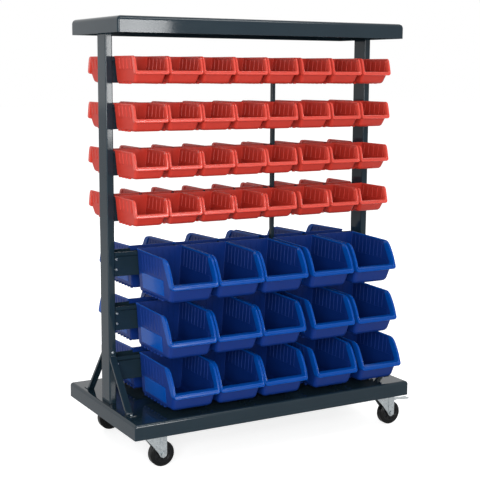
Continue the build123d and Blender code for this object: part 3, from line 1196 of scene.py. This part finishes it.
def forkMesh(pin):
    # two legs, the crown between them and the race's ring on it
    outer, top = fork["inner"] + fork["sheet"], fork["crownZ"]
    bottom, bore, edge = top - fork["sheet"], fork["raceBore"], fork["raceRadius"]
    length = (-fork["front"] + fork["crownIn"], fork["trail"] + fork["back"])
    crown = slab(length, (-outer, outer), (bottom, top))
    profile = [
        (bore, bottom),
        (edge - fork["raceSlope"], bottom),
        (edge, top - fork["raceEdge"]),
        (edge - fork["raceSlope"], top),
        (bore, top),
    ]
    ring = movedMesh(lathe(profile, fork["raceSteps"], Vector()), Matrix.Rotation(pi / 2, 4, "X"))
    parts = [legMesh(-1), legMesh(1), shaped(crown, softEdges(fork["crownSoft"], 3)), ring]
    return movedMesh(joined("fork", parts), Matrix.Translation(pin))


# How round the edges of the casters' plainer parts are, in millimetres
casterRounds = {"axle": 0.5, "pedal": 0.5, "plates": 0.6}


def makeCasters():
    for end in ends:
        for side in sides:
            name = f"{side}_{end}"
            low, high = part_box(name + "_tyre")
            centre = (low + high) / 2
            pin = Vector((centre.x - fork["trail"] * mm, centre.y, rackZ))
            addPiece(name + "_tyre", "round", tyreMesh(centre), "black_tyre")
            addPiece(name + "_hub", "ribbed", hubMesh(centre), "dark_plastic")
            addPiece(name + "_fork", "pressed", forkMesh(pin), "zinc")
            addSoftened(name + "_axle", "zinc", casterRounds["axle"])
            if end == "right":
                addSoftened(name + "_brake_pedal", "zinc", casterRounds["pedal"])
    addSoftened("caster_plates", "zinc", casterRounds["plates"])
    print("casters made")


makeCasters()


# Floor, world and lamps. The floor and the world look paler to the camera than the light they give
room = {
    "floorHalf": 30,
    "floorTone": 0.7,
    "floorRoughness": 0.9,
    "floorSeen": 0.72,
    "floorReflected": 0.2,
    "worldSeen": 1.0,
    "worldLight": 0.56,
}
# Each lamp points at the aim. The softbox shows only in gloss, and the back lamp doesn't show in it
lampsAim = (0, 0, 0.65)
lamps = {
    "softbox": {"place": (1.16, -3.72, 1.31), "size": (0.36, 1.3), "watts": 34, "diffuse": False},
    "fill": {"place": (-2.2, -3.6, 1.5), "size": (2.4, 1.5), "watts": 122},
    "left": {"place": (-3.6, -0.6, 0.5), "size": (1.8, 1.0), "watts": 22},
    "top": {"place": (1.15, -1.45, 3.6), "size": (1.3, 0.9), "watts": 26},
    "back": {"place": (1.6, 4.3, 1.2), "size": (2.6, 1.6), "watts": 60, "glossy": False},
}


def makeFloor():
    half, grey = room["floorHalf"], room["floorTone"]
    corners = [(-half, -half, 0), (half, -half, 0), (half, half, 0), (-half, half, 0)]
    floor = bpy.data.objects.new("floor", meshFrom("floor", corners, [[0, 1, 2, 3]]))
    scene.collection.objects.link(floor)
    material = bpy.data.materials.new("pale_floor")
    material.use_nodes = True
    tree = material.node_tree
    shader = tree.nodes["Principled BSDF"]
    shader.inputs["Base Color"].default_value = (grey, grey, grey, 1)
    shader.inputs["Roughness"].default_value = room["floorRoughness"]
    shader.inputs["Specular IOR Level"].default_value = 0.0
    # the floor glows for the camera, and a little in reflections
    path = addNode(tree, "ShaderNodeLightPath").outputs
    reflected = {0: path["Is Glossy Ray"], 1: room["floorReflected"]}
    reflected = addNode(tree, "ShaderNodeMath", reflected, {"operation": "MULTIPLY"})
    seen = {0: path["Is Camera Ray"], 1: room["floorSeen"], 2: reflected.outputs[0]}
    seen = addNode(tree, "ShaderNodeMath", seen, {"operation": "MULTIPLY_ADD"})
    glow = addNode(tree, "ShaderNodeEmission", {"Strength": seen.outputs[0]})
    both = addNode(tree, "ShaderNodeAddShader", {0: shader.outputs["BSDF"], 1: glow.outputs["Emission"]})
    tree.links.new(both.outputs["Shader"], tree.nodes["Material Output"].inputs["Surface"])
    floor.data.materials.append(material)


def makeWorld():
    world = bpy.data.worlds.new("room")
    scene.world = world
    world.use_nodes = True
    tree = world.node_tree
    path = addNode(tree, "ShaderNodeLightPath").outputs
    rays = {0: path["Is Camera Ray"], 1: path["Is Glossy Ray"]}
    seen = addNode(tree, "ShaderNodeMath", rays, {"operation": "MAXIMUM"})
    levels = {"Value": seen.outputs[0], "To Min": room["worldLight"], "To Max": room["worldSeen"]}
    level = addNode(tree, "ShaderNodeMapRange", levels)
    back = tree.nodes["Background"]
    back.inputs["Color"].default_value = (1, 1, 1, 1)
    tree.links.new(level.outputs["Result"], back.inputs["Strength"])


def makeLamps():
    for name, lamp in lamps.items():
        data = bpy.data.lights.new(name, "AREA")
        data.shape = "RECTANGLE"
        data.size, data.size_y = lamp["size"]
        data.energy = lamp["watts"]
        light = bpy.data.objects.new(name, data)
        light.location = lamp["place"]
        toAim = Vector(lampsAim) - Vector(lamp["place"])
        light.rotation_euler = toAim.to_track_quat("-Z", "Y").to_euler()
        light.visible_diffuse = lamp.get("diffuse", True)
        light.visible_glossy = lamp.get("glossy", True)
        scene.collection.objects.link(light)


makeFloor()
makeWorld()
makeLamps()
scene.view_settings.view_transform = "Standard"
print("stage made")
